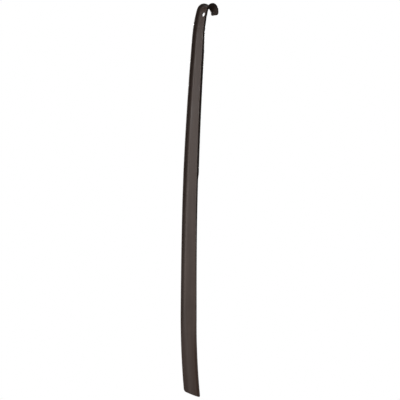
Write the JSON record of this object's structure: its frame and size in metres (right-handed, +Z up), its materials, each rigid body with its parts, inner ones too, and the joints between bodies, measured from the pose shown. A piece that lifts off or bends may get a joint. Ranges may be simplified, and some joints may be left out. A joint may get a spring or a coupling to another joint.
{
  "type": "long shoehorn",
  "caption": "Long plastic shoehorn: dished blade, channel-section handle ribbed behind its upper half, hanging hole and a hook rolled over backwards.",
  "frame": {"origin": "centre of the hanging hole, halfway through the web", "axes": "+Z up along the handle towards the hook, -Y out of the hollow front, +Y the side that the hook rolls to, X across the blade"},
  "size_m": [0.0374, 0.0558, 0.6],
  "materials": {
    "plastic": "dark brown injection-moulded plastic, satin"
  },
  "bodies": {
    "root": {"blade_tip": "plastic", "blade_root": "plastic", "shank_lower": "plastic", "shank_middle": "plastic", "shank_upper": "plastic", "grip_lower": "plastic", "grip_middle": "plastic", "grip_upper": "plastic", "hanging_eye": "plastic", "hook": "plastic"}
  },
  "joints": []
}
